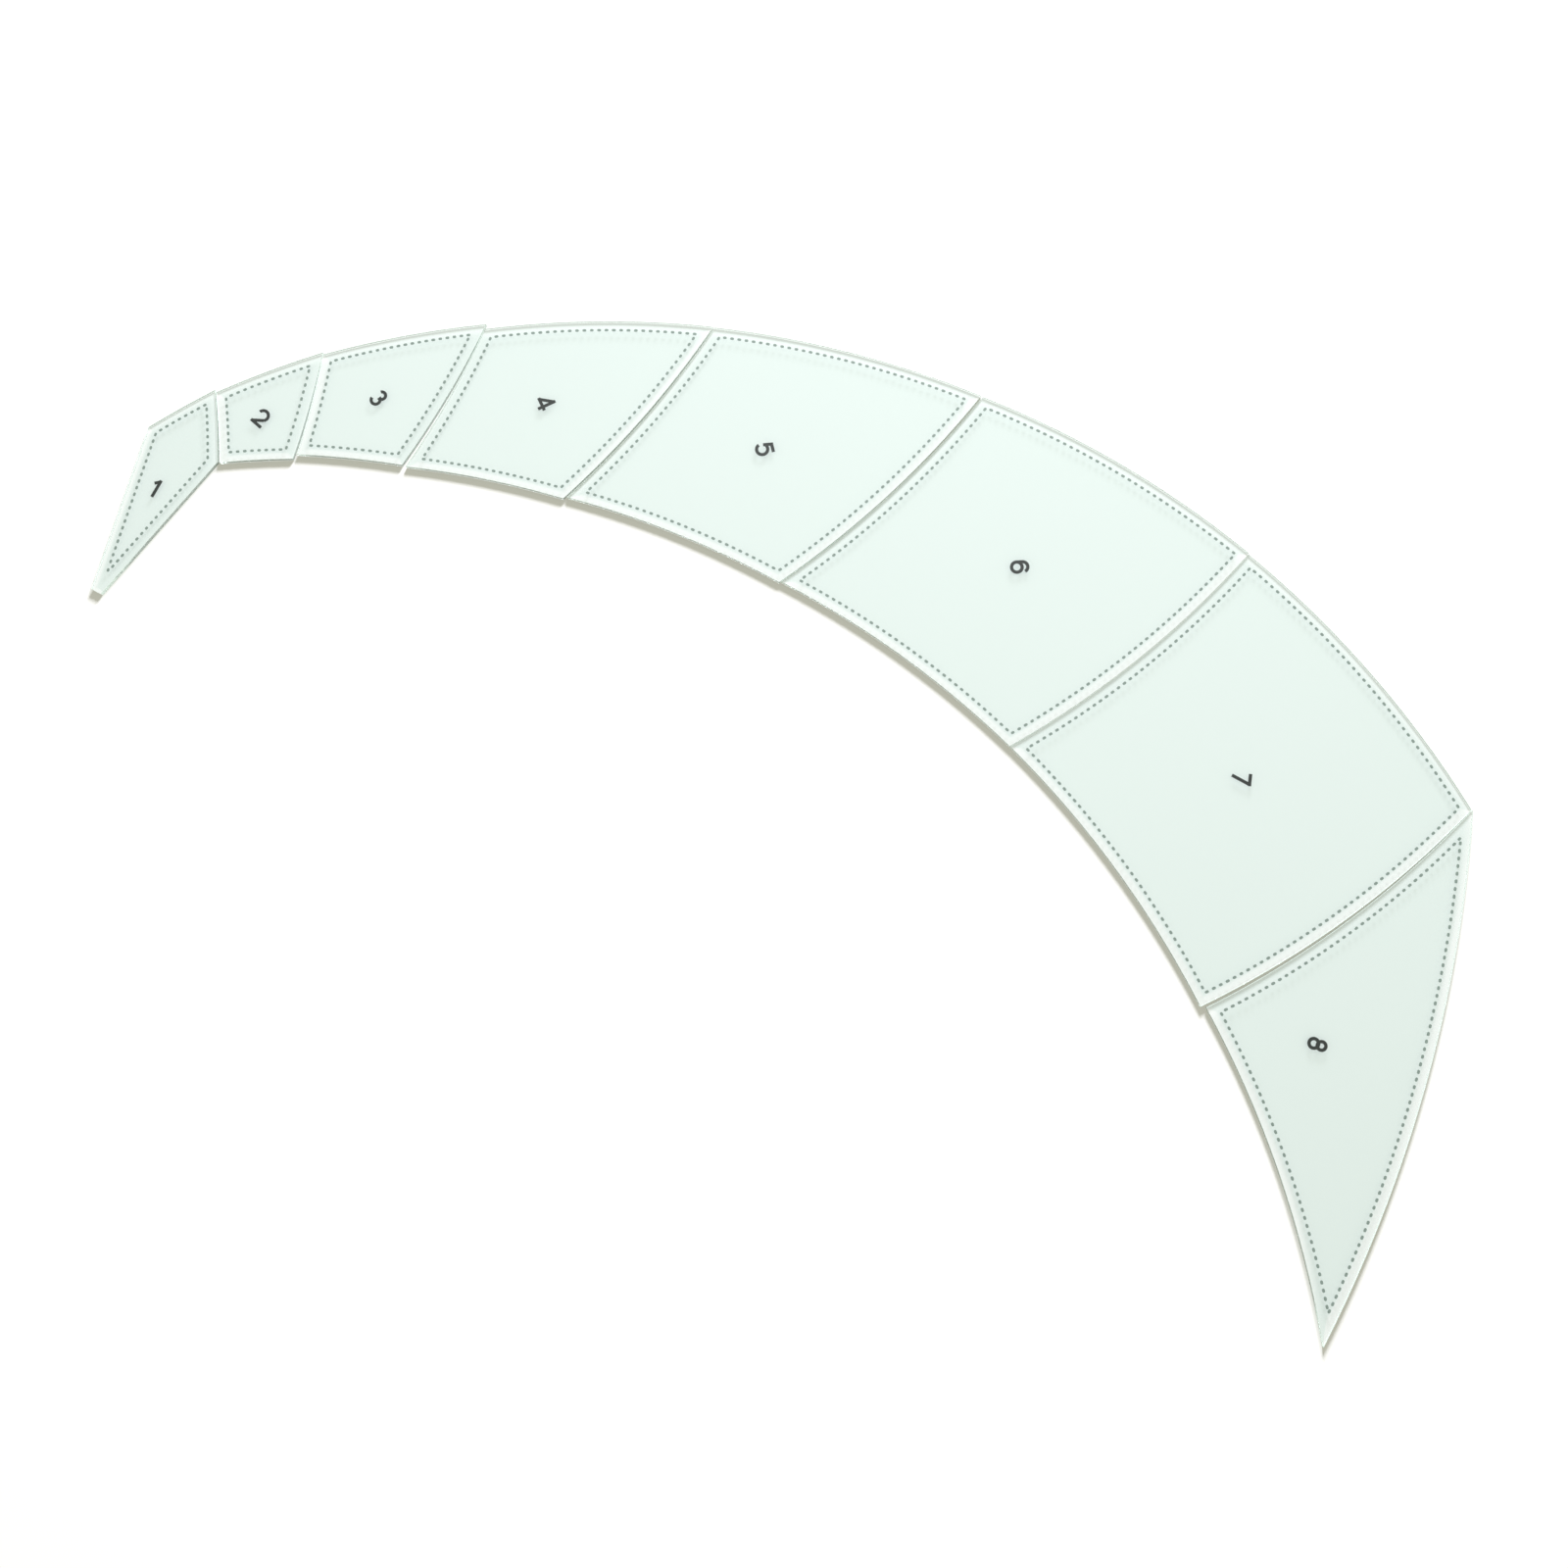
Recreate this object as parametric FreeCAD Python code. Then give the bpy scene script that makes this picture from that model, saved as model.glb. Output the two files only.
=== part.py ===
import FreeCAD, Part
import math
import os

# Eight clear acrylic patchwork templates, laid edge to edge as one spiral arm of a dahlia quilt.
# Each template is a flat plate, symmetric about its own axis. The dashed line printed on it is the
# sewing line, and the plate reaches one seam allowance past that line on every side. The outer
# edges of one template and the inner edges of the next are the same seam, so they share one chord
# length and one radius. A template's own frame has its inner sewing corner at the origin and its
# axis along +X, so that -Y is the side that the next template lies on.
# Everything is in millimetres. The layout lies on Z = 0 with the middle of its box at the origin.

# Plate and seams
SEAM_ALLOWANCE = 6.35  # a quarter of an inch
THICKNESS = 3.0
SEAM_LENGTHS = (98.0, 37.5, 58.5, 93.0, 135.0, 165.5, 184.0, 195.5)  # chords, from the innermost seam outwards
FINISHED_WIDTHS = (39.5, 54.5, 79.0, 113.5, 162.0, 213.5, 269.0, 297.5)  # across each sewing line
SEAM_RADIUS = 610.0  # every curved seam bends outwards at this radius
RIM_RADIUS = 858.0  # the last template's long edge follows the rim of the dahlia
RIM_SETBACK = 11.0  # how far the last template's inner edges stop short of the full seam
TIP_REACH = 13.5  # from the first template's sewing corner to its blunt tip

# How the templates lie
FIRST_HEADING = 62.3  # degrees from +X to the first template's axis
SEAM_GAPS = (0.8, 0.8, 1.5, 1.2, 0.9, 0.4, 1.4)  # between neighbouring plates
SEAM_SLIPS = (3.4, 5.8, 5.0, 7.9, 5.4, 1.4, 0.6)  # along each seam, outwards
SEAM_TURNS = (1.0, 1.0, 1.2, 0.0, -0.3, 0.0, 0.4)  # degrees out of parallel

# Printed marks
INK_THICKNESS = 0.1
DASH_LENGTH = 2.4
DASH_WIDTH = 1.2
DASH_PITCH = 4.75
NUMERAL_HEIGHT = 12.4
NUMERAL_STROKE = 2.1
NUMERAL_PLACES = (63.5, 31.0, 54.5, 88.0, 118.5, 140.0, 134.0, 60.5)  # along the axis, from the inner corner

COUNT = len(FINISHED_WIDTHS)
UP = FreeCAD.Vector(0, 0, 1)


def vector(x, y, z=0.0):
    """A point or a direction."""
    return FreeCAD.Vector(x, y, z)


def turned(angle):
    """A unit vector in the plane of the plates, at an angle in degrees from +X."""
    return vector(math.cos(math.radians(angle)), math.sin(math.radians(angle)))


def inner_chord(index):
    """The chord of a template's inner edges."""
    if index == COUNT - 1:
        return SEAM_LENGTHS[index] - RIM_SETBACK
    return SEAM_LENGTHS[index]


def sewing_corners(index):
    """The corners of a template's sewing line, anticlockwise from the inner one."""
    half_width = FINISHED_WIDTHS[index] / 2
    shoulder = math.sqrt(inner_chord(index) ** 2 - half_width ** 2)
    right = vector(shoulder, -half_width)
    left = vector(shoulder, half_width)
    if index == COUNT - 1:
        return [vector(0, 0), right, left]
    length = shoulder + math.sqrt(SEAM_LENGTHS[index + 1] ** 2 - half_width ** 2)
    return [vector(0, 0), right, vector(length, 0), left]


def arc_centre(start, end, radius, outwards):
    """The centre of an arc of an anticlockwise outline, bulging outwards or hollowed inwards."""
    along = (end - start).normalize()
    bulge = along.cross(UP) if outwards else UP.cross(along)
    depth = math.sqrt(radius ** 2 - start.distanceToPoint(end) ** 2 / 4)
    return (start + end) / 2 - bulge * depth


class Side:
    """One side of an anticlockwise outline: straight, bulging outwards or hollowed inwards."""

    def __init__(self, start, end, radius=None, outwards=True):
        self.start = start
        self.end = end
        self.radius = radius
        self.outwards = outwards

    def curve(self, allowance):
        """The endless line or full circle that the side follows, moved outwards by an allowance."""
        if self.radius is None:
            shift = (self.end - self.start).normalize().cross(UP) * allowance
            return Part.Line(self.start + shift, self.end + shift)
        centre = arc_centre(self.start, self.end, self.radius, self.outwards)
        radius = self.radius + allowance if self.outwards else self.radius - allowance
        return Part.Circle(centre, UP, radius)

    def edge(self, start, end, allowance=0.0):
        """The side between two points, moved outwards by an allowance."""
        if self.radius is None:
            return Part.LineSegment(start, end).toShape()
        circle = self.curve(allowance)
        middle = circle.Center + ((start + end) / 2 - circle.Center).normalize() * circle.Radius
        return Part.Arc(start, middle, end).toShape()


def sides(index):
    """The sides of a template's sewing line, anticlockwise from the inner corner."""
    corners = sewing_corners(index)
    outline = []
    for number, start in enumerate(corners):
        end = corners[(number + 1) % len(corners)]
        is_inner = number in (0, len(corners) - 1)
        if is_inner and index == 0:
            outline.append(Side(start, end))
        elif is_inner:
            outline.append(Side(start, end, SEAM_RADIUS, outwards=False))
        elif index == COUNT - 1:
            outline.append(Side(start, end, RIM_RADIUS))
        else:
            outline.append(Side(start, end, SEAM_RADIUS))
    return outline


def sewing_edges(index):
    """The edges of a template's sewing line."""
    return [side.edge(side.start, side.end) for side in sides(index)]


def cut_corner(before, after):
    """Where two sides meet once both are moved outwards by the seam allowance."""
    meetings = before.curve(SEAM_ALLOWANCE).intersectCC(after.curve(SEAM_ALLOWANCE))
    points = [vector(meeting.X, meeting.Y) for meeting in meetings]
    return min(points, key=after.start.distanceToPoint)


def plate(index):
    """A template's plate: its sewing line, widened by the seam allowance, with sharp cut corners."""
    outline = sides(index)
    corners = [cut_corner(outline[number - 1], side) for number, side in enumerate(outline)]
    edges = []
    for number, side in enumerate(outline):
        edges.append(side.edge(corners[number], corners[(number + 1) % len(corners)], SEAM_ALLOWANCE))
    solid = Part.Face(Part.Wire(edges)).extrude(UP * THICKNESS)
    if index == 0:
        box = solid.BoundBox
        kept = Part.makeBox(box.XMax + TIP_REACH, box.YLength, THICKNESS, vector(-TIP_REACH, box.YMin))
        solid = solid.common(kept)
    return solid


def ink_bar(start, end, width):
    """A straight printed bar between two points on the top face."""
    length = start.distanceToPoint(end)
    bar = Part.makeBox(length, width, INK_THICKNESS, vector(0, -width / 2))
    heading = math.degrees(math.atan2(end.y - start.y, end.x - start.x))
    bar.Placement = FreeCAD.Placement(start + UP * THICKNESS, FreeCAD.Rotation(UP, heading))
    return bar


def ink_arc(centre, radius, first, last):
    """A printed arc of a numeral, from one angle in degrees to another."""
    outer = Part.makeCylinder(radius + NUMERAL_STROKE / 2, INK_THICKNESS, vector(0, 0), UP, last - first)
    inner = Part.makeCylinder(radius - NUMERAL_STROKE / 2, INK_THICKNESS)
    arc = outer.cut(inner)
    arc.Placement = FreeCAD.Placement(centre + UP * THICKNESS, FreeCAD.Rotation(UP, first))
    return arc


def stitch_line(index):
    """The dashed sewing line: each edge starts with a dash, and its dashes are evenly spaced."""
    dashes = []
    for edge in sewing_edges(index):
        steps = round(edge.Length / DASH_PITCH)
        for step in range(steps):
            middle = edge.getParameterByLength(step * edge.Length / steps + DASH_LENGTH / 2)
            half = edge.tangentAt(middle) * DASH_LENGTH / 2
            dashes.append(ink_bar(edge.valueAt(middle) - half, edge.valueAt(middle) + half, DASH_WIDTH))
    return dashes[0].multiFuse(dashes[1:])


def numeral_strokes(number):
    """The strokes of one numeral, standing upright on its base line and centred on X = 0."""
    top = NUMERAL_HEIGHT - NUMERAL_STROKE / 2
    base = NUMERAL_STROKE / 2
    bowl = (top - base) / 4

    def bar(x_start, y_start, x_end, y_end):
        return ink_bar(vector(x_start, y_start), vector(x_end, y_end), NUMERAL_STROKE)

    def ring(x, y, radius, first=0, last=360):
        return ink_arc(vector(x, y), radius, first, last)

    if number == 1:
        return [bar(0, 0, 0, NUMERAL_HEIGHT), bar(-bowl * 1.2, top - bowl, 0, top)]
    if number == 2:
        head = bowl * 1.35
        slope_start = turned(-35) * head + vector(0, top - head)
        return [
            ring(0, top - head, head, -35, 170),
            bar(slope_start.x, slope_start.y, -head, base),
            bar(-head - base, base, head + base, base),
        ]
    if number == 3:
        head = bowl
        belly = bowl * 1.15
        return [ring(0, top - head, head, -90, 160), ring(0, base + belly, belly, -160, 90)]
    if number == 4:
        stem = bowl * 0.7
        heel = top * 0.3
        return [
            bar(stem, 0, stem, NUMERAL_HEIGHT),
            bar(stem, top, -bowl * 1.5, heel),
            bar(-bowl * 1.5 - base, heel, stem + bowl, heel),
        ]
    if number == 5:
        belly = bowl * 1.4
        shoulder = turned(140) * belly + vector(0, base + belly)
        return [
            ring(0, base + belly, belly, -155, 140),
            bar(shoulder.x, shoulder.y - base, shoulder.x + base, top + base),
            bar(shoulder.x, top, belly, top),
        ]
    if number == 6:
        belly = bowl * 1.3
        return [
            ring(0, base + belly, belly),
            bar(-belly, base + belly, -belly, top - belly),
            ring(0, top - belly, belly, 25, 180),
        ]
    if number == 7:
        return [bar(-bowl * 1.3, top, bowl * 1.3 + base, top), bar(bowl * 1.3, top, -bowl * 0.4, 0)]
    head = bowl
    belly = bowl * 1.12
    return [ring(0, top - head, head), ring(0, base + belly, belly)]


def numeral(index):
    """A template's number, reading upright when its axis points away from the reader."""
    strokes = numeral_strokes(index + 1)
    shape = strokes[0].multiFuse(strokes[1:])
    facing = FreeCAD.Rotation(UP, -90)
    place = vector(NUMERAL_PLACES[index] - NUMERAL_HEIGHT / 2, 0)
    shape.Placement = FreeCAD.Placement(place, facing)
    return shape


def turn_about(point, angle):
    """A turn in the plane of the plates about a point, by an angle in degrees."""
    return FreeCAD.Placement(vector(0, 0), FreeCAD.Rotation(UP, angle), point)


def step_to_next(index):
    """The place of the next template in a template's own frame.

    Its inner edge, on its +Y side, first lies on this template's outer edge, on the -Y side, with
    their inner corners together. Then it slips along the shared curve, moves away by two seam
    allowances and the gap, and turns slightly about the middle of the seam.
    """
    corners = sewing_corners(index)
    near, far = corners[1], corners[2]
    centre = arc_centre(near, far, SEAM_RADIUS, outwards=True)
    next_near = vector(0, 0)
    next_far = sewing_corners(index + 1)[-1]
    next_centre = arc_centre(next_far, next_near, SEAM_RADIUS, outwards=False)

    here = near - centre
    there = next_near - next_centre
    heading = math.degrees(math.atan2(here.y, here.x) - math.atan2(there.y, there.x))
    place = FreeCAD.Placement(centre, FreeCAD.Rotation(UP, heading))
    place = place.multiply(FreeCAD.Placement(vector(0, 0) - next_centre, FreeCAD.Rotation()))

    slip = turn_about(centre, math.degrees(SEAM_SLIPS[index] / SEAM_RADIUS))
    place = slip.multiply(place)
    middle = (place.multVec(next_near) + place.multVec(next_far)) / 2
    apart = (middle - centre).normalize() * (2 * SEAM_ALLOWANCE + SEAM_GAPS[index])
    place = FreeCAD.Placement(apart, FreeCAD.Rotation()).multiply(place)
    return turn_about(middle + apart, SEAM_TURNS[index]).multiply(place)


def layout():
    """The place of every template, with the middle of the whole layout's box at the origin."""
    places = [FreeCAD.Placement(vector(0, 0), FreeCAD.Rotation(UP, FIRST_HEADING))]
    for index in range(COUNT - 1):
        places.append(places[-1].multiply(step_to_next(index)))
    box = FreeCAD.BoundBox()
    for index, place in enumerate(places):
        shape = plate(index)
        shape.Placement = place.multiply(shape.Placement)
        box.add(shape.optimalBoundingBox())
    to_middle = FreeCAD.Placement(vector(-box.Center.x, -box.Center.y), FreeCAD.Rotation())
    return [to_middle.multiply(place) for place in places]


def main():
    """Write every plate, numeral and dashed line to its own file."""
    os.makedirs("parts", exist_ok=True)
    pieces = {"template": plate, "numeral": numeral, "stitch_line": stitch_line}
    for index, place in enumerate(layout()):
        for name, make in pieces.items():
            shape = make(index)
            shape.Placement = place.multiply(shape.Placement)
            shape.exportStep(f"parts/{name}_{index + 1}.step")


main()
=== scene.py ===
"""A set of eight clear acrylic sewing templates, dressed for its picture.

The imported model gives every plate, stitch line and number its place.  This
script makes the finished surfaces there: cast acrylic plates with polished
faces and laser-cut edges, printed stitch dashes and printed numbers.  They
lie on pale paper in the light of one low soft box.
"""

import logging
import math
from dataclasses import dataclass
from enum import Enum
from typing import Any, Sequence

import bmesh
import bpy
from mathutils import Euler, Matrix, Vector


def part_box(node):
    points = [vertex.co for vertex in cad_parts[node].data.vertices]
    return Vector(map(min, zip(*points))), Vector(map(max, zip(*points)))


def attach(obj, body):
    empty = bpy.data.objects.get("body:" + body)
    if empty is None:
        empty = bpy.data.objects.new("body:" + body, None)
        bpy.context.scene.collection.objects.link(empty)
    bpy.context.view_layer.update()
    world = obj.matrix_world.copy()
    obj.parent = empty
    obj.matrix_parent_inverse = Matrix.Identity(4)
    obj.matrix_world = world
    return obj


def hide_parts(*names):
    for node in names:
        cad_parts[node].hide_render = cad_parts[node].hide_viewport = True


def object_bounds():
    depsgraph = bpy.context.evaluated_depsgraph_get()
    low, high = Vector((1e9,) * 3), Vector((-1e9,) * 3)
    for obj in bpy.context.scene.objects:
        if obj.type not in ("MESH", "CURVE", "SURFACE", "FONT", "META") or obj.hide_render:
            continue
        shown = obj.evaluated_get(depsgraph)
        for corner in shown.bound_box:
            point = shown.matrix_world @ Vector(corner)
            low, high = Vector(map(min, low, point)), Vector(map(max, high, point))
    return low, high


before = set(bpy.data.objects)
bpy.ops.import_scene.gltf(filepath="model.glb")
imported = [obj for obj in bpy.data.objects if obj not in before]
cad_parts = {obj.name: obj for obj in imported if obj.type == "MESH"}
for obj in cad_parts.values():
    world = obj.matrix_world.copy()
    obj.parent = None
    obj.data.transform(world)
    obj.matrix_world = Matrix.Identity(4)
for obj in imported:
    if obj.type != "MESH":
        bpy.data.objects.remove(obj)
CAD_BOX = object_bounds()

LOG = logging.getLogger("templates")

MM = 0.001
SAME_SPOT = 0.001 * MM  # points nearer than this are one
WELD = 0.0001 * MM  # and so are points of one dash nearer than this
Colour = tuple[float, float, float, float]


class Slot(Enum):
    """The finishes in the record that a piece can take."""

    ACRYLIC = "acrylic"
    STITCH_INK = "stitch_ink"
    NUMERAL_INK = "numeral_ink"


class Face(Enum):
    """Which of a plate's two finishes a face carries, as its material index."""

    POLISHED = 0
    LASER_CUT = 1


def linear(code: str) -> Colour:
    """Turns an sRGB colour to the linear one that shaders take.

    Args:
        code: Six hex digits, such as "d8e4df".

    Returns:
        Red, green and blue, and an opacity of 1.
    """
    parts = [int(code[i : i + 2], 16) / 255 for i in (0, 2, 4)]
    red, green, blue = (
        part / 12.92 if part <= 0.04045 else ((part + 0.055) / 1.055) ** 2.4
        for part in parts
    )
    return red, green, blue, 1.0


def add_node(
    tree: bpy.types.NodeTree,
    kind: str,
    values: dict[str | int, Any] | None = None,
    links: dict[str | int, bpy.types.NodeSocket] | None = None,
    **settings: Any,
) -> bpy.types.Node:
    """Adds a node to a tree with its settings, values and links.

    Args:
        tree: The tree that gets the node.
        kind: The node's type name in Blender.
        values: What each unlinked input holds.
        links: The output socket that feeds each linked input.
        **settings: The node's own properties.

    Returns:
        The new node.
    """
    node = tree.nodes.new(kind)
    for name, value in settings.items():
        setattr(node, name, value)
    for socket, value in (values or {}).items():
        node.inputs[socket].default_value = value
    for socket, source in (links or {}).items():
        tree.links.new(source, node.inputs[socket])
    return node


def new_material(name: str) -> bpy.types.Material:
    """Makes a material with an empty node tree.

    Args:
        name: What the real finish is called.

    Returns:
        The material.
    """
    material = bpy.data.materials.new(name)
    material.use_nodes = True
    material.node_tree.nodes.clear()
    return material


def link_piece(name: str, mesh: bpy.types.Mesh) -> bpy.types.Object:
    """Puts a mesh into the scene as an object at the origin.

    Args:
        name: The piece's name.
        mesh: The piece's mesh, already in its place.

    Returns:
        The new object.
    """
    piece = bpy.data.objects.new(name, mesh)
    bpy.context.scene.collection.objects.link(piece)
    return piece


@dataclass(frozen=True)
class SoftBox:
    """The one strong light, low behind the far edge of the table.

    Attributes:
        place: Where the middle of the light stands.
        size: How wide and high it is.
        power: Its strength, which does not fall off over the table.
        colour: Its colour.
    """

    place: tuple[float, float, float] = (0.35, 1.45, 0.66)
    size: float = 0.5
    power: float = 24.0
    colour: str = "f8f8ff"

    def heading_from(self, spot: Vector) -> Vector:
        """Returns the level direction from a spot on the table to the light."""
        return (Vector(self.place) - spot.to_3d()).to_2d().normalized()

    def build(self) -> None:
        """Makes the lamp, out of the camera's sight."""
        lamp = bpy.data.lights.new("soft_box", "AREA")
        lamp.shape = "DISK"
        lamp.size = self.size
        lamp.energy = self.power
        lamp.color = linear(self.colour)[:3]
        lamp.use_nodes = True
        tree = lamp.node_tree
        even = add_node(tree, "ShaderNodeLightFalloff", {"Strength": 1.0})
        tree.links.new(even.outputs["Constant"], tree.nodes["Emission"].inputs["Strength"])
        box = bpy.data.objects.new("soft_box", lamp)
        box.location = self.place
        box.rotation_euler = Vector(self.place).to_track_quat("Z", "Y").to_euler()
        box.visible_camera = False
        bpy.context.scene.collection.objects.link(box)


SOFT_BOX = SoftBox()


@dataclass(frozen=True)
class PolishedAcrylic:
    """Cast acrylic sheet, as its glassy faces come from the mould.

    It is nearly colourless, with the faint mint cast of clear sheet.  Light that
    falls through it to the paper loses a little at each face.  Near an edge that
    faces away from the lamp, light reflected inside the sheet falls on the paper
    too.  Here that is painted light: a glow baked into the plate's mesh from the
    lamp's place, which lets more light through there to make up for the loss.

    Attributes:
        tint: The colour of the sheet seen through its face.
        passed: The share of light that each face lets fall to the paper.
        glow: The same share along an edge with the painted glow.
        glow_edge: The painted glow value from which the full share counts.
        ior: The refractive index.
        smooth: The roughness of a clean spot.
        hazed: The roughness where the face is hazed by handling.
        haze_from: The noise value at which the haze starts.
        haze_to: The noise value at which it is full.
        haze_size: The size of a hazed patch.
        ripple_size: The length of the moulded face's slow ripple.
        ripple_height: How high that ripple stands.
        ripple_strength: How much of it the light shows.
    """

    tint: str = "fafdfc"
    passed: str = "ecf1f0"
    glow: str = "fbfafb"
    glow_edge: float = 0.28
    ior: float = 1.49
    smooth: float = 0.01
    hazed: float = 0.05
    haze_from: float = 0.35
    haze_to: float = 0.75
    haze_size: float = 35 * MM
    ripple_size: float = 60 * MM
    ripple_height: float = 0.01 * MM
    ripple_strength: float = 0.4

    def material(self) -> bpy.types.Material:
        """Returns the finish of a plate's two faces."""
        material = new_material("cast_acrylic_polished")
        tree = material.node_tree
        place = add_node(tree, "ShaderNodeTexCoord")
        haze = add_node(
            tree,
            "ShaderNodeTexNoise",
            {"Scale": 1 / self.haze_size, "Detail": 4.0, "Roughness": 0.6},
            {"Vector": place.outputs["Object"]},
        )
        roughness = add_node(
            tree,
            "ShaderNodeMapRange",
            {
                "From Min": self.haze_from,
                "From Max": self.haze_to,
                "To Min": self.smooth,
                "To Max": self.hazed,
            },
            {"Value": haze.outputs["Fac"]},
        )
        ripple = add_node(
            tree,
            "ShaderNodeTexNoise",
            {"Scale": 1 / self.ripple_size, "Detail": 1.0},
            {"Vector": place.outputs["Object"]},
        )
        bump = add_node(
            tree,
            "ShaderNodeBump",
            {"Strength": self.ripple_strength, "Distance": self.ripple_height},
            {"Height": ripple.outputs["Fac"]},
        )
        sheet = add_node(
            tree,
            "ShaderNodeBsdfPrincipled",
            {"Base Color": linear(self.tint), "IOR": self.ior, "Transmission Weight": 1.0},
            {"Roughness": roughness.outputs["Result"], "Normal": bump.outputs["Normal"]},
        )
        # Painted light: the baked edge glow, set from the lamp's place, lets more light fall
        # through to the paper along the far edges.
        rim = add_node(tree, "ShaderNodeAttribute", attribute_name=Plate.PAINTED_GLOW)
        painted_light_share = add_node(
            tree, "ShaderNodeMapRange", {"From Max": self.glow_edge}, {"Value": rim.outputs["Fac"]}
        )
        passed = add_node(
            tree,
            "ShaderNodeMix",
            {6: linear(self.passed), 7: linear(self.glow)},
            {0: painted_light_share.outputs["Result"]},
            data_type="RGBA",
        )
        shade = add_node(tree, "ShaderNodeBsdfTransparent", links={"Color": passed.outputs[2]})
        path = add_node(tree, "ShaderNodeLightPath")
        soft = add_node(
            tree,
            "ShaderNodeMath",
            links={0: path.outputs["Is Shadow Ray"], 1: path.outputs["Is Diffuse Ray"]},
            operation="MAXIMUM",
        )
        both = add_node(
            tree,
            "ShaderNodeMixShader",
            links={0: soft.outputs[0], 1: sheet.outputs[0], 2: shade.outputs[0]},
        )
        add_node(tree, "ShaderNodeOutputMaterial", links={"Surface": both.outputs[0]})
        return material


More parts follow.
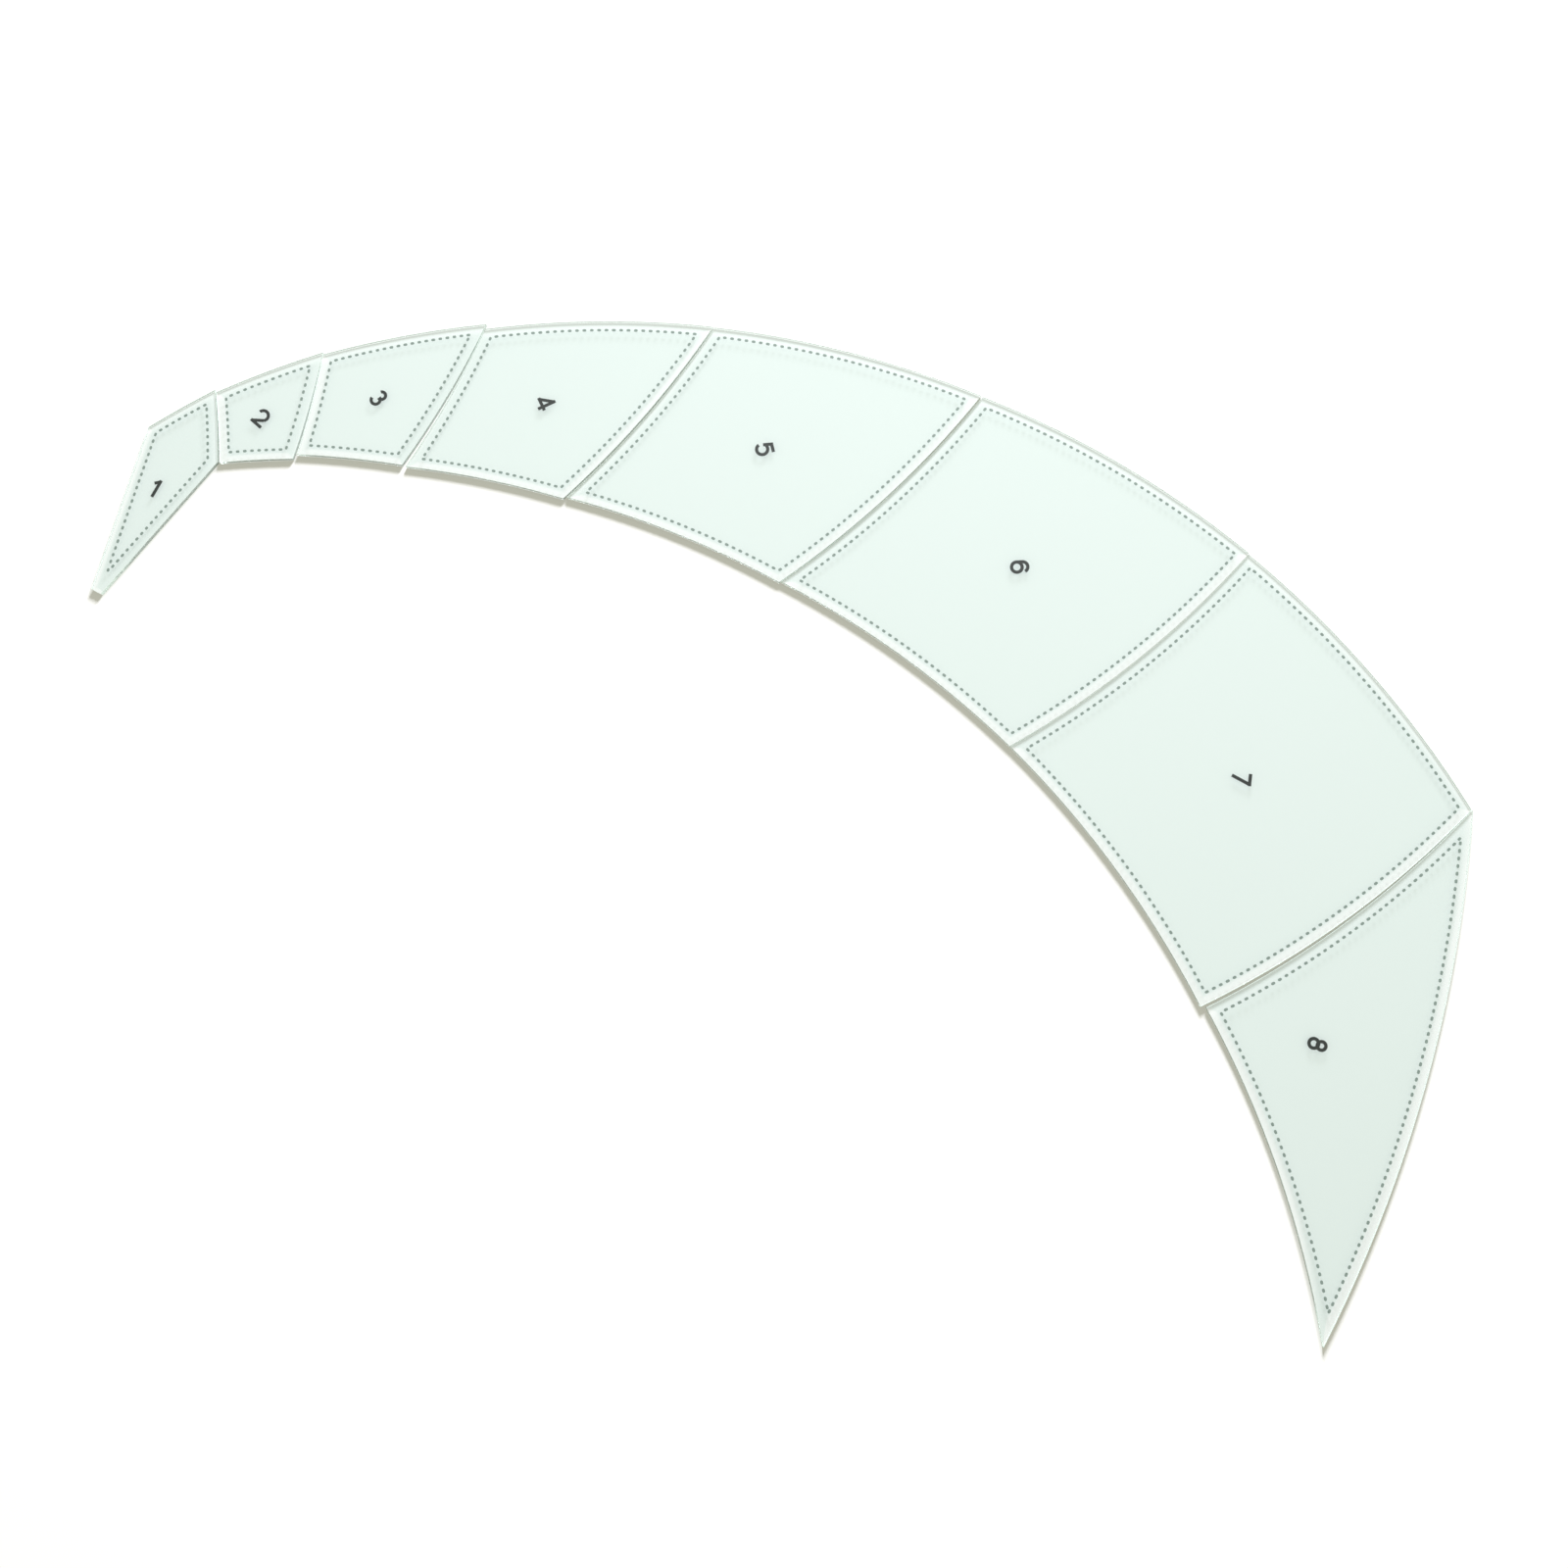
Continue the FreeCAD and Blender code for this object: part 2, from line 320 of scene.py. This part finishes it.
@dataclass(frozen=True)
class LaserCutAcrylic:
    """The narrow edge that a laser leaves on acrylic sheet.

    It is melted clear with fine upright ribs, so it looks brighter and more
    green than the faces.  Light inside the sheet cannot leave through it, and
    that leaves a soft shadow outside the far edges and a thin dim line just
    inside the near ones.

    Attributes:
        tint: The colour of the edge.
        ior: The refractive index.
        clearness: The share of light that goes through rather than scatters.
        smooth: The roughness between ribs.
        ribbed: The roughness on a rib.
        ribs_from: The noise value at which a rib starts.
        ribs_to: The noise value at its top.
        rib: How wide the ribs are.
        rib_stretch: How wide a rib is for its height.
        rib_height: How high they stand.
        rib_strength: How much of their height the light shows.
        dim_from: How high above the paper the dim line's light is stopped.
        dim_to: Up to what height it is stopped.
        dimness: The share of that light that is stopped.
        slant_from: The slant of light along the edge at which none is stopped.
        slant_to: The slant at which all of it is stopped.
    """

    FIRST_SURFACE = 0.5  # light that has met no surface yet counts fewer than this

    tint: str = "e9f7f1"
    ior: float = 1.49
    clearness: float = 0.55
    smooth: float = 0.18
    ribbed: float = 0.22
    ribs_from: float = 0.3
    ribs_to: float = 0.7
    rib: float = 0.6 * MM
    rib_stretch: float = 0.05
    rib_height: float = 0.001 * MM
    rib_strength: float = 0.5
    slant_from: float = 0.93
    slant_to: float = 0.7
    dim_from: float = 0.1 * MM
    dim_to: float = 1.2 * MM
    dimness: float = 0.55

    def material(self) -> bpy.types.Material:
        """Returns the finish of a plate's edge."""
        material = new_material("acrylic_laser_cut_edge")
        tree = material.node_tree
        place = add_node(tree, "ShaderNodeTexCoord")
        upright = add_node(
            tree,
            "ShaderNodeMapping",
            {"Scale": (1 / self.rib, 1 / self.rib, self.rib_stretch / self.rib)},
            {"Vector": place.outputs["Object"]},
        )
        ribs = add_node(
            tree,
            "ShaderNodeTexNoise",
            {"Scale": 1.0, "Detail": 2.0},
            {"Vector": upright.outputs["Vector"]},
        )
        roughness = add_node(
            tree,
            "ShaderNodeMapRange",
            {
                "From Min": self.ribs_from,
                "From Max": self.ribs_to,
                "To Min": self.smooth,
                "To Max": self.ribbed,
            },
            {"Value": ribs.outputs["Fac"]},
        )
        bump = add_node(
            tree,
            "ShaderNodeBump",
            {"Strength": self.rib_strength, "Distance": self.rib_height},
            {"Height": ribs.outputs["Fac"]},
        )
        cut = add_node(
            tree,
            "ShaderNodeBsdfPrincipled",
            {
                "Base Color": linear(self.tint),
                "IOR": self.ior,
                "Transmission Weight": self.clearness,
            },
            {"Roughness": roughness.outputs["Result"], "Normal": bump.outputs["Normal"]},
        )
        stopped = self.stopped_light(tree, place)
        clear = add_node(tree, "ShaderNodeBsdfTransparent")
        dark = add_node(tree, "ShaderNodeBsdfTransparent", {"Color": (0, 0, 0, 1)})
        lamp = add_node(
            tree,
            "ShaderNodeMixShader",
            links={0: stopped, 1: clear.outputs[0], 2: dark.outputs[0]},
        )
        path = add_node(tree, "ShaderNodeLightPath")
        soft = add_node(
            tree,
            "ShaderNodeMixShader",
            links={0: path.outputs["Is Diffuse Ray"], 1: cut.outputs[0], 2: clear.outputs[0]},
        )
        both = add_node(
            tree,
            "ShaderNodeMixShader",
            links={0: path.outputs["Is Shadow Ray"], 1: soft.outputs[0], 2: lamp.outputs[0]},
        )
        add_node(tree, "ShaderNodeOutputMaterial", links={"Surface": both.outputs[0]})
        return material

    def stopped_light(
        self, tree: bpy.types.NodeTree, place: bpy.types.Node
    ) -> bpy.types.NodeSocket:
        """Works out which light the edge keeps from reaching the paper.

        Args:
            tree: The material's node tree.
            place: Its texture coordinates.

        Returns:
            A socket that is 1 where light is stopped and 0 where it passes.
        """
        side = add_node(tree, "ShaderNodeNewGeometry")
        path = add_node(tree, "ShaderNodeLightPath")
        level = add_node(tree, "ShaderNodeSeparateXYZ", links={0: place.outputs["Object"]})
        above = add_node(
            tree,
            "ShaderNodeMath",
            {1: self.dim_from},
            {0: level.outputs["Z"]},
            operation="GREATER_THAN",
        )
        below = add_node(
            tree, "ShaderNodeMath", {1: self.dim_to}, {0: level.outputs["Z"]}, operation="LESS_THAN"
        )
        between = add_node(
            tree,
            "ShaderNodeMath",
            links={0: above.outputs[0], 1: below.outputs[0]},
            operation="MULTIPLY",
        )
        inner = add_node(
            tree, "ShaderNodeMath", {1: self.dimness}, {0: between.outputs[0]}, operation="MULTIPLY"
        )
        outer = add_node(
            tree,
            "ShaderNodeMath",
            {1: self.FIRST_SURFACE},
            {0: path.outputs["Transparent Depth"]},
            operation="LESS_THAN",
        )
        slant = add_node(tree, "ShaderNodeLayerWeight")
        square_on = add_node(
            tree,
            "ShaderNodeMapRange",
            {"From Min": self.slant_from, "From Max": self.slant_to},
            {"Value": slant.outputs["Facing"]},
        )
        stopped = add_node(
            tree,
            "ShaderNodeMix",
            links={0: side.outputs["Backfacing"], 2: outer.outputs[0], 3: inner.outputs[0]},
        )
        return add_node(
            tree,
            "ShaderNodeMath",
            links={0: stopped.outputs[0], 1: square_on.outputs["Result"]},
            operation="MULTIPLY",
        ).outputs[0]


@dataclass(frozen=True)
class PrintedInk:
    """Screen-printed ink: a thin matt film, mottled where it lies thin.

    Its grain is drawn at a third of a millimetre, coarser than the real one,
    so that it shows.

    Attributes:
        name: What the finish is called.
        dense: The ink's colour where it lies thick.
        thin: Its colour where it lies thin.
        veil: The share of lamp light that falls past the marks, because
            light inside the sheet fills their shadows.
        grain: The size of a grain.
        grain_height: How high a grain stands.
        grain_strength: How much of that height the light shows.
        thin_from: The noise value at which the film starts to thin.
        thin_to: The noise value at which it is thinnest.
        smooth: The least roughness.
        rough: The most roughness.
    """

    name: str
    dense: str
    thin: str
    veil: float
    grain: float = 0.35 * MM
    grain_height: float = 0.01 * MM
    grain_strength: float = 0.3
    thin_from: float = 0.4
    thin_to: float = 0.7
    smooth: float = 0.45
    rough: float = 0.65

    def material(self) -> bpy.types.Material:
        """Returns the ink's finish."""
        material = new_material(self.name)
        tree = material.node_tree
        place = add_node(tree, "ShaderNodeTexCoord")
        grain = add_node(
            tree,
            "ShaderNodeTexNoise",
            {"Scale": 1 / self.grain, "Detail": 3.0},
            {"Vector": place.outputs["Object"]},
        )
        film = add_node(
            tree,
            "ShaderNodeMapRange",
            {"From Min": self.thin_from, "From Max": self.thin_to},
            {"Value": grain.outputs["Fac"]},
        )
        colour = add_node(
            tree,
            "ShaderNodeMix",
            {6: linear(self.dense), 7: linear(self.thin)},
            {0: film.outputs["Result"]},
            data_type="RGBA",
        )
        roughness = add_node(
            tree,
            "ShaderNodeMapRange",
            {"To Min": self.smooth, "To Max": self.rough},
            {"Value": grain.outputs["Fac"]},
        )
        bump = add_node(
            tree,
            "ShaderNodeBump",
            {"Strength": self.grain_strength, "Distance": self.grain_height},
            {"Height": grain.outputs["Fac"]},
        )
        ink = add_node(
            tree,
            "ShaderNodeBsdfPrincipled",
            {"IOR": 1.5},
            {
                "Base Color": colour.outputs[2],
                "Roughness": roughness.outputs["Result"],
                "Normal": bump.outputs["Normal"],
            },
        )
        path = add_node(tree, "ShaderNodeLightPath")
        veil = add_node(
            tree,
            "ShaderNodeMath",
            {1: self.veil},
            {0: path.outputs["Is Shadow Ray"]},
            operation="MULTIPLY",
        )
        clear = add_node(tree, "ShaderNodeBsdfTransparent")
        both = add_node(
            tree,
            "ShaderNodeMixShader",
            links={0: veil.outputs[0], 1: ink.outputs[0], 2: clear.outputs[0]},
        )
        add_node(tree, "ShaderNodeOutputMaterial", links={"Surface": both.outputs[0]})
        return material


@dataclass(frozen=True)
class Paper:
    """Plain pale cartridge paper, matt with a faint tooth.

    Attributes:
        colour: Its colour, a light neutral grey.
        tooth: The size of the tooth.
        tooth_height: How high the tooth stands.
        tooth_strength: How much of that height the light shows.
    """

    colour: Colour = (0.8, 0.8, 0.8, 1.0)
    tooth: float = 1.5 * MM
    tooth_height: float = 0.02 * MM
    tooth_strength: float = 0.1

    def material(self) -> bpy.types.Material:
        """Returns the finish of the table top."""
        material = new_material("cartridge_paper")
        tree = material.node_tree
        place = add_node(tree, "ShaderNodeTexCoord")
        tooth = add_node(
            tree,
            "ShaderNodeTexNoise",
            {"Scale": 1 / self.tooth, "Detail": 3.0},
            {"Vector": place.outputs["Object"]},
        )
        bump = add_node(
            tree,
            "ShaderNodeBump",
            {"Strength": self.tooth_strength, "Distance": self.tooth_height},
            {"Height": tooth.outputs["Fac"]},
        )
        paper = add_node(
            tree,
            "ShaderNodeBsdfDiffuse",
            {"Color": self.colour},
            {"Normal": bump.outputs["Normal"]},
        )
        add_node(tree, "ShaderNodeOutputMaterial", links={"Surface": paper.outputs[0]})
        return material


@dataclass
class Plate:
    """One template: a slab of clear sheet with its crisp edges barely eased.

    Attributes:
        number: The template's number in the set.
        easing: How far the laser rounds the edges over.
        easing_bulge: Where the rounding's middle lies, as a share of easing.
        crease: The least angle between faces that stays crisp.
        glow_width: How far in from an edge the painted glow reaches.
        glow_share: The most of the shortest side that the painted glow may take.
        away_from: How far from the lamp an edge must face before its painted glow starts.
        away_to: How far from the lamp an edge faces when its painted glow is full.
        corner_turn: The least turn of the outline that makes a corner.
    """

    # painted light: the share of light let through near each edge, baked from the lamp's place
    PAINTED_GLOW = "painted_edge_glow"
    LEVEL = 0.5  # a face whose normal rises more than this is level

    number: int
    easing: float = 0.12 * MM
    easing_bulge: float = 0.3
    crease: float = math.radians(15)
    glow_width: float = 5.5 * MM
    glow_share: float = 0.4
    away_from: float = 0.15
    away_to: float = 0.4
    corner_turn: float = math.radians(12)

    @property
    def node(self) -> str:
        """The CAD solid that this plate stands for."""
        return f"template_{self.number}"

    @property
    def body(self) -> str:
        """The body that carries the plate and its print."""
        return f"piece_{self.number}"

    def outline(self) -> list[Vector]:
        """Walks round the underside of the CAD solid.

        Returns:
            The corners of its outline, anticlockwise from above.
        """
        solid = bmesh.new()
        solid.from_mesh(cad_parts[self.node].data)
        bmesh.ops.remove_doubles(solid, verts=solid.verts, dist=SAME_SPOT)
        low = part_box(self.node)[0].z + SAME_SPOT
        rim = {
            edge
            for edge in solid.edges
            if all(vert.co.z < low for vert in edge.verts)
            and sum(abs(face.normal.z) > self.LEVEL for face in edge.link_faces) == 1
        }
        edge = min(rim, key=lambda one: tuple(one.verts[0].co))
        start, here = edge.verts
        points = [start.co.to_2d()]
        while here != start:
            points.append(here.co.to_2d())
            edge = next(one for one in here.link_edges if one in rim and one is not edge)
            here = edge.other_vert(here)
        solid.free()
        area = sum(a.cross(b) for a, b in zip(points, points[1:] + points[:1]))
        return points if area > 0 else points[::-1]

    def sides(self) -> list[list[Vector]]:
        """Splits the outline at its corners.

        Returns:
            Each side's points, from one corner to the next.
        """
        points = self.outline()
        around = list(zip(points[-1:] + points[:-1], points, points[1:] + points[:1]))
        turns = [(after - here).angle_signed(here - before) for before, here, after in around]
        corners = [i for i, turn in enumerate(turns) if abs(turn) > self.corner_turn]
        ring = points + points
        ends = corners[1:] + [corners[0] + len(points)]
        return [ring[start : end + 1] for start, end in zip(corners, ends)]

    def drawn_in(self, sides: Sequence[list[Vector]], inset: float) -> list[Vector]:
        """Moves the outline inwards and keeps its corners sharp.

        Args:
            sides: The sides of the outline, anticlockwise.
            inset: How far in each side goes.

        Returns:
            As many points as the outline has, on the smaller outline.
        """
        trims = []
        for before, after in zip([sides[-1], *sides], sides):
            turn = (after[1] - after[0]).angle_signed(before[-1] - before[-2])
            trims.append(inset * math.tan(turn / 2))
        moved = []
        for side, first, last in zip(sides, trims, trims[1:] + trims[:1]):
            steps = [(b - a).length for a, b in zip(side, side[1:])]
            reach = [sum(steps[:i]) for i in range(len(side))]
            kept = max(0.0, reach[-1] - first - last) / reach[-1]
            for far in reach[:-1]:
                goal = min(first + far * kept, reach[-1])
                i = max(k for k in range(len(steps)) if reach[k] <= goal or k == 0)
                along = (side[i + 1] - side[i]).normalized()
                inwards = Vector((-along.y, along.x))
                moved.append(side[i] + along * (goal - reach[i]) + inset * inwards)
        return moved

    def painted_glow_strength(self, start: Vector, end: Vector) -> float:
        """Works out how brightly a stretch of the edge glows; the glow is painted light, set from
        the lamp's place.

        Args:
            start: Where the stretch starts, anticlockwise.
            end: Where it ends.

        Returns:
            0 for an edge that faces the lamp, up to 1 for one that faces away.
        """
        along = (end - start).normalized()
        away = -Vector((along.y, -along.x)).dot(SOFT_BOX.heading_from(start))
        return min(1.0, max(0.0, (away - self.away_from) / (self.away_to - self.away_from)))

    def build(self) -> bpy.types.Mesh:
        """Makes the slab's mesh, with the painted glow along its far edges.

        Returns:
            The mesh, in its place.
        """
        low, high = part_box(self.node)
        sides = self.sides()
        points = [point for side in sides for point in side[:-1]]
        shortest = min((side[-1] - side[0]).length for side in sides)
        ease, bulge = self.easing, self.easing_bulge * self.easing
        section = (
            (min(self.glow_width, self.glow_share * shortest), low.z),
            (ease, low.z),
            (bulge, low.z + bulge),
            (0.0, low.z + ease),
            (0.0, high.z - ease),
            (bulge, high.z - bulge),
            (ease, high.z),
        )
        slab = bmesh.new()
        glow = slab.loops.layers.float.new(self.PAINTED_GLOW)
        rings = [
            [slab.verts.new((*spot, z)) for spot in self.drawn_in(sides, inset)]
            for inset, z in section
        ]
        slab.faces.new(rings[0][::-1])
        slab.faces.new(rings[-1])
        count = len(points)
        for level, (lower, upper) in enumerate(zip(rings, rings[1:])):
            for i in range(count):
                j = (i + 1) % count
                face = slab.faces.new((lower[i], lower[j], upper[j], upper[i]))
                # the bottom ring's faces carry the painted glow, set from the lamp's place
                if level == 0:
                    painted_glow_strength = self.painted_glow_strength(points[i], points[j])
                    for loop in face.loops:
                        outer = loop.vert in (upper[i], upper[j])
                        loop[glow] = painted_glow_strength if outer else 0.0
                elif level < len(rings) - 1:
                    face.material_index = Face.LASER_CUT.value
        slab.normal_update()
        mesh = bpy.data.meshes.new(f"plate_{self.number}")
        slab.to_mesh(mesh)
        slab.free()
        mesh.shade_smooth()
        mesh.set_sharp_from_angle(angle=self.crease)
        return mesh

    def dress(self, mesh: bpy.types.Mesh, finishes: dict[Face, bpy.types.Material]) -> None:
        """Gives the plate its finishes and its place on its body.

        Args:
            mesh: The slab's mesh.
            finishes: The material of each kind of face.
        """
        for face in Face:
            mesh.materials.append(finishes[face])
        piece = link_piece(f"plate_{self.number}", mesh)
        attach(piece, self.body)
        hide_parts(self.node)
        LOG.info("plate %d: %d faces", self.number, len(mesh.polygons))


class DashTree:
    """The node tree that prints one dash at each point of a stitch line."""

    NAME = "stitch_dashes"
    HEADING = "heading"
    END_SHARE = 0.49  # the radius of a dash's round ends, for its width
    END_STEPS = 3

    def __init__(self) -> None:
        """Builds the tree and its named inputs."""
        self.tree = bpy.data.node_groups.new(self.NAME, "GeometryNodeTree")
        self.inputs: dict[str, str] = {}
        self.add_input("Points", "NodeSocketGeometry")
        for name in ("Dash Length", "Dash Width", "Ink Height", "Unevenness"):
            self.add_input(name, "NodeSocketFloat")
        self.add_input("Seed", "NodeSocketInt")
        self.add_input("Ink", "NodeSocketMaterial")
        self.tree.interface.new_socket(
            name="Dashes", in_out="OUTPUT", socket_type="NodeSocketGeometry"
        )
        self.fill()

    def add_input(self, name: str, kind: str) -> None:
        """Adds a named input and keeps its identifier.

        Args:
            name: The input's name.
            kind: The input's socket type.
        """
        socket = self.tree.interface.new_socket(name=name, in_out="INPUT", socket_type=kind)
        self.inputs[name] = socket.identifier

    def fill(self) -> None:
        """Adds the nodes: one dash with round ends, a copy at each point."""
        tree = self.tree
        given = add_node(tree, "NodeGroupInput").outputs
        frame_of_dash = add_node(
            tree,
            "GeometryNodeCurvePrimitiveQuadrilateral",
            links={"Width": given["Dash Length"], "Height": given["Dash Width"]},
        )
        end = add_node(
            tree,
            "ShaderNodeMath",
            {1: self.END_SHARE},
            {0: given["Dash Width"]},
            operation="MULTIPLY",
        )
        rounded = add_node(
            tree,
            "GeometryNodeFilletCurve",
            {"Count": self.END_STEPS},
            {"Curve": frame_of_dash.outputs[0], "Radius": end.outputs[0]},
            mode="POLY",
        )
        flat = add_node(
            tree, "GeometryNodeFillCurve", links={"Curve": rounded.outputs[0]}, mode="NGONS"
        )
        rise = add_node(tree, "ShaderNodeCombineXYZ", links={"Z": given["Ink Height"]})
        raised = add_node(
            tree,
            "GeometryNodeExtrudeMesh",
            {"Individual": False},
            {"Mesh": flat.outputs[0], "Offset": rise.outputs[0]},
        )
        under = add_node(tree, "GeometryNodeFlipFaces", links={"Mesh": flat.outputs[0]})
        shell = add_node(tree, "GeometryNodeJoinGeometry")
        tree.links.new(under.outputs[0], shell.inputs[0])
        tree.links.new(raised.outputs["Mesh"], shell.inputs[0])
        dash = add_node(
            tree, "GeometryNodeMergeByDistance", {"Distance": WELD}, {"Geometry": shell.outputs[0]}
        )
        heading = add_node(
            tree, "GeometryNodeInputNamedAttribute", {"Name": self.HEADING}, data_type="FLOAT"
        )
        turn = add_node(tree, "ShaderNodeCombineXYZ", links={"Z": heading.outputs[0]})
        least = add_node(
            tree, "ShaderNodeMath", {0: 1.0}, {1: given["Unevenness"]}, operation="SUBTRACT"
        )
        chance = add_node(
            tree,
            "FunctionNodeRandomValue",
            {3: 1.0},
            {2: least.outputs[0], "Seed": given["Seed"]},
            data_type="FLOAT",
        )
        size = add_node(
            tree, "ShaderNodeCombineXYZ", {"Y": 1.0, "Z": 1.0}, {"X": chance.outputs[1]}
        )
        copies = add_node(
            tree,
            "GeometryNodeInstanceOnPoints",
            links={
                "Points": given["Points"],
                "Instance": dash.outputs[0],
                "Rotation": turn.outputs[0],
                "Scale": size.outputs[0],
            },
        )
        real = add_node(tree, "GeometryNodeRealizeInstances", links={0: copies.outputs[0]})
        inked = add_node(
            tree,
            "GeometryNodeSetMaterial",
            links={"Geometry": real.outputs[0], "Material": given["Ink"]},
        )
        add_node(tree, "NodeGroupOutput", links={0: inked.outputs[0]})


@dataclass
class StitchLine:
    """The dashed sewing line printed round one template.

    Attributes:
        number: The template's number in the set.
        dash_length: The length of one dash.
        dash_width: The width of one dash.
        unevenness: The share of its length that a dash may lose in printing.
    """

    number: int
    dash_length: float = 2.7 * MM
    dash_width: float = 1.7 * MM
    unevenness: float = 0.12

    @property
    def node(self) -> str:
        """The CAD solid that this line stands for."""
        return f"stitch_line_{self.number}"

    def dash_places(self) -> list[tuple[Vector, float]]:
        """Finds each dash of the CAD line.

        Returns:
            The middle and the heading of each dash.
        """
        solid = bmesh.new()
        solid.from_mesh(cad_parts[self.node].data)
        bmesh.ops.remove_doubles(solid, verts=solid.verts, dist=SAME_SPOT)
        left = set(solid.verts)
        places = []
        for seed in list(solid.verts):
            if seed not in left:
                continue
            dash, fresh = {seed}, [seed]
            while fresh:
                vert = fresh.pop()
                near = {edge.other_vert(vert) for edge in vert.link_edges} - dash
                dash |= near
                fresh.extend(near)
            left -= dash
            middle = sum((vert.co for vert in dash), Vector()) / len(dash)
            xx = sum((vert.co.x - middle.x) ** 2 for vert in dash)
            yy = sum((vert.co.y - middle.y) ** 2 for vert in dash)
            xy = sum((vert.co.x - middle.x) * (vert.co.y - middle.y) for vert in dash)
            places.append((middle, 0.5 * math.atan2(2 * xy, xx - yy)))
        solid.free()
        places.sort(key=lambda place: tuple(place[0]))
        return places

    def build(self, dashes: DashTree, ink: bpy.types.Material) -> bpy.types.Mesh:
        """Prints the line with the dash tree.

        Args:
            dashes: The tree that makes the dashes.
            ink: The ink's material.

        Returns:
            The line's mesh, in its place.
        """
        low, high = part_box(self.node)
        places = self.dash_places()
        points = bpy.data.meshes.new("stitch_points")
        points.from_pydata([(spot.x, spot.y, low.z) for spot, _ in places], [], [])
        heading = points.attributes.new(DashTree.HEADING, "FLOAT", "POINT")
        heading.data.foreach_set("value", [turn for _, turn in places])
        carrier = link_piece("stitch_points", points)
        modifier = carrier.modifiers.new("dashes", "NODES")
        modifier.node_group = dashes.tree
        for name, value in (
            ("Dash Length", self.dash_length),
            ("Dash Width", self.dash_width),
            ("Ink Height", high.z - low.z),
            ("Unevenness", self.unevenness),
            ("Seed", self.number),
            ("Ink", ink),
        ):
            modifier[dashes.inputs[name]] = value
        ready = carrier.evaluated_get(bpy.context.evaluated_depsgraph_get())
        mesh = bpy.data.meshes.new_from_object(ready)
        carrier.modifiers.remove(modifier)
        bpy.data.objects.remove(carrier)
        mesh.name = self.node
        return mesh

    def dress(self, mesh: bpy.types.Mesh) -> None:
        """Gives the line its place on its body.

        Args:
            mesh: The line's mesh.
        """
        piece = link_piece(f"stitches_{self.number}", mesh)
        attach(piece, f"piece_{self.number}")
        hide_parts(self.node)
        LOG.info("stitch line %d: %d faces", self.number, len(mesh.polygons))


@dataclass
class Numeral:
    """The number printed on one template, whose CAD solid is right as it is."""

    number: int

    @property
    def node(self) -> str:
        """The CAD solid of the figure."""
        return f"numeral_{self.number}"

    def dress(self, ink: bpy.types.Material) -> None:
        """Gives the figure its ink.

        Args:
            ink: The ink's material.
        """
        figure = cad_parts[self.node]
        for slot in figure.material_slots:
            slot.material = ink
        LOG.info("figure %d: %d faces", self.number, len(figure.data.polygons))


@dataclass(frozen=True)
class TemplateSet:
    """All eight templates with their print."""

    count: int = 8

    def build(self) -> None:
        """Makes and dresses every plate, stitch line and number."""
        finishes = {
            Face.POLISHED: PolishedAcrylic().material(),
            Face.LASER_CUT: LaserCutAcrylic().material(),
        }
        stitch_ink = PrintedInk("stitch_ink_grey_green", "66756f", "83918b", 0.85).material()
        figure_ink = PrintedInk("figure_ink_black", "1f2423", "2c3230", 0.92).material()
        dashes = DashTree()
        for number in range(1, self.count + 1):
            plate = Plate(number)
            plate.dress(plate.build(), finishes)
            line = StitchLine(number)
            line.dress(line.build(dashes, stitch_ink))
            Numeral(number).dress(figure_ink)


@dataclass(frozen=True)
class Studio:
    """The paper, the room's light and the camera.

    Attributes:
        paper_reach: How far the paper runs from the middle, each way.
        paper_gap: The air between the plates and the paper.
        room: The colour of the light that comes from all round.
        room_strength: How strong that light is.
        lens: The camera's focal length, in millimetres.
        eye: Where the camera stands.
        tilt: How it is turned from looking straight down, in degrees.
    """

    paper_reach: float = 8.0
    paper_gap: float = 0.1 * MM
    room: str = "f7f7e4"
    room_strength: float = 0.66
    lens: float = 35.0
    eye: tuple[float, float, float] = (0.0345, -0.118, 0.9463)
    tilt: tuple[float, float, float] = (8.029, 1.489, -0.237)

    def build(self) -> None:
        """Lays the paper and sets the lights and the camera."""
        self.lay_paper()
        self.light_room()
        SOFT_BOX.build()
        self.place_camera()
        bpy.context.scene.view_settings.view_transform = "Standard"

    def lay_paper(self) -> None:
        """Lays the paper just under the plates."""
        level = CAD_BOX[0][2] - self.paper_gap
        far = self.paper_reach
        mesh = bpy.data.meshes.new("paper")
        corners = [(-far, -far, level), (far, -far, level), (far, far, level), (-far, far, level)]
        mesh.from_pydata(corners, [], [(0, 1, 2, 3)])
        mesh.materials.append(Paper().material())
        link_piece("paper", mesh)

    def light_room(self) -> None:
        """Fills the room with soft light, and shows it as white."""
        world = bpy.data.worlds.new("room")
        world.use_nodes = True
        tree = world.node_tree
        tree.nodes.clear()
        fill = add_node(
            tree,
            "ShaderNodeBackground",
            {"Color": linear(self.room), "Strength": self.room_strength},
        )
        backdrop = add_node(
            tree, "ShaderNodeBackground", {"Color": (1.0, 1.0, 1.0, 1.0), "Strength": 1.0}
        )
        path = add_node(tree, "ShaderNodeLightPath")
        both = add_node(
            tree,
            "ShaderNodeMixShader",
            links={0: path.outputs["Is Camera Ray"], 1: fill.outputs[0], 2: backdrop.outputs[0]},
        )
        add_node(tree, "ShaderNodeOutputWorld", links={"Surface": both.outputs[0]})
        bpy.context.scene.world = world

    def place_camera(self) -> None:
        """Stands the camera over the table, looking down."""
        lens = bpy.data.cameras.new("camera")
        lens.lens = self.lens
        camera = bpy.data.objects.new("camera", lens)
        camera.location = self.eye
        camera.rotation_euler = Euler([math.radians(angle) for angle in self.tilt], "XYZ")
        bpy.context.scene.collection.objects.link(camera)
        bpy.context.scene.camera = camera


def main() -> None:
    """Builds the templates and the studio round them."""
    logging.basicConfig(level=logging.INFO, format="%(message)s")
    TemplateSet().build()
    Studio().build()


if __name__ == "__main__":
    main()
